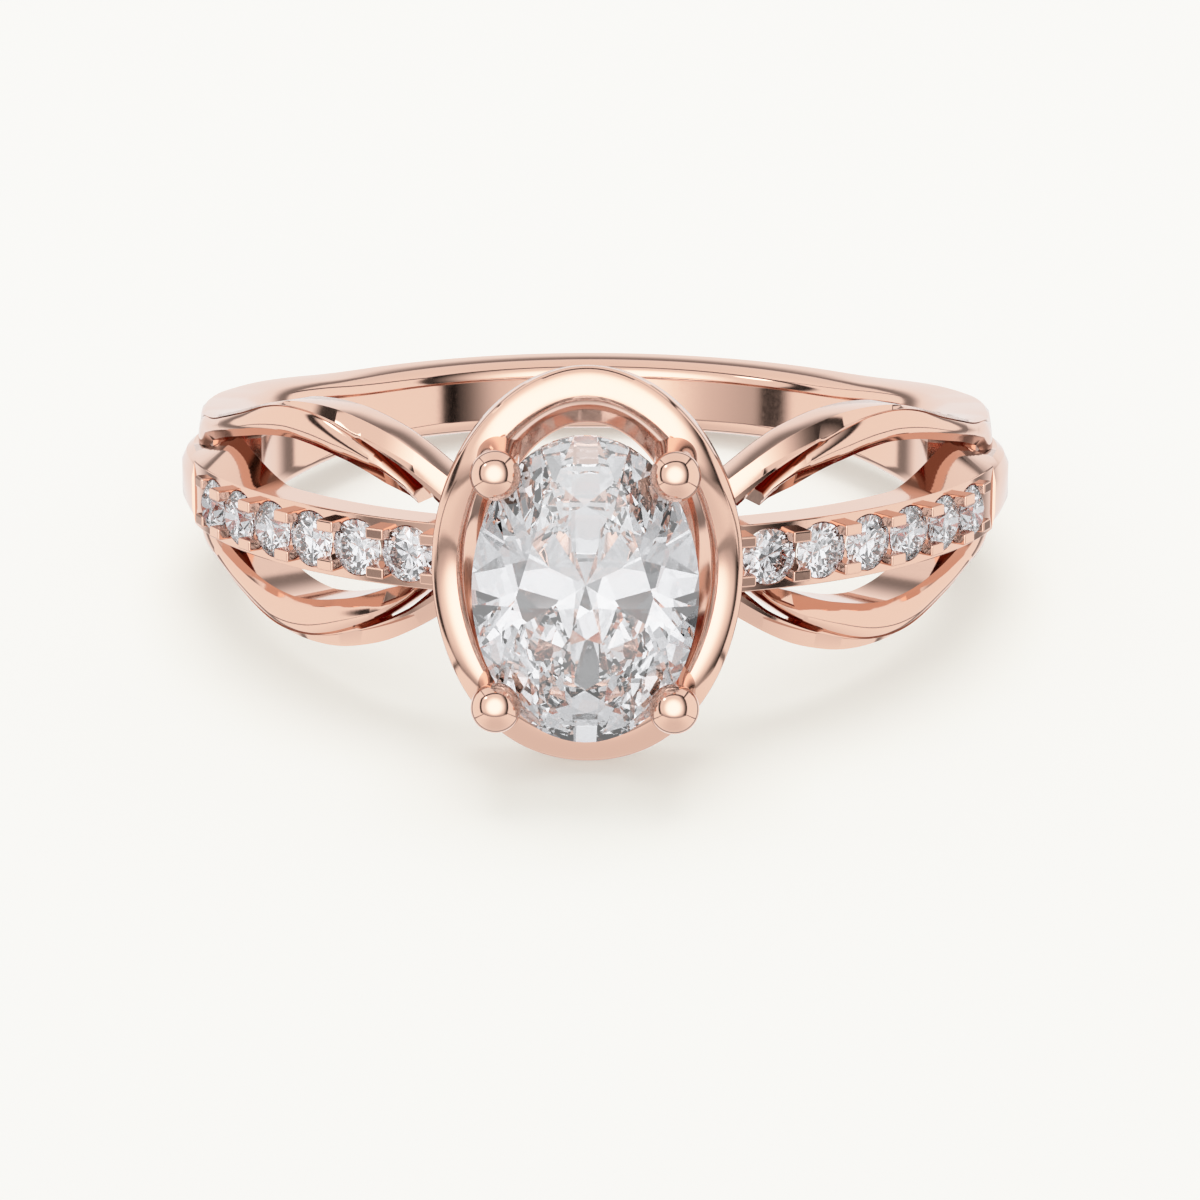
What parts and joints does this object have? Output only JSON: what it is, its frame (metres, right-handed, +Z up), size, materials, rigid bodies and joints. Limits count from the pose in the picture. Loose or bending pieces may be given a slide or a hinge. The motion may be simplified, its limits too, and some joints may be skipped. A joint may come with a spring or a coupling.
{
  "type": "crossover engagement ring",
  "caption": "Finger ring with an oval stone in a smooth halo and crossing strands around a row of small stones on each shoulder.",
  "frame": {"origin": "on the floor, under the middle of the ring's box as it lies at rest", "axes": "+X to the right, -Y towards the centre stone, +Z up; the finger axis leans 10.7 degrees from +Z towards +Y"},
  "size_m": [0.021, 0.0242, 0.0095],
  "materials": {
    "rose_gold": "high polish",
    "stone": "faceted and polished"
  },
  "bodies": {
    "root": {"mounting": "rose_gold", "center_stone": "stone", "side_stone_l1": "stone", "side_stone_l2": "stone", "side_stone_l3": "stone", "side_stone_l4": "stone", "side_stone_l5": "stone", "side_stone_l6": "stone", "side_stone_r1": "stone", "side_stone_r2": "stone", "side_stone_r3": "stone", "side_stone_r4": "stone", "side_stone_r5": "stone", "side_stone_r6": "stone"}
  },
  "joints": []
}
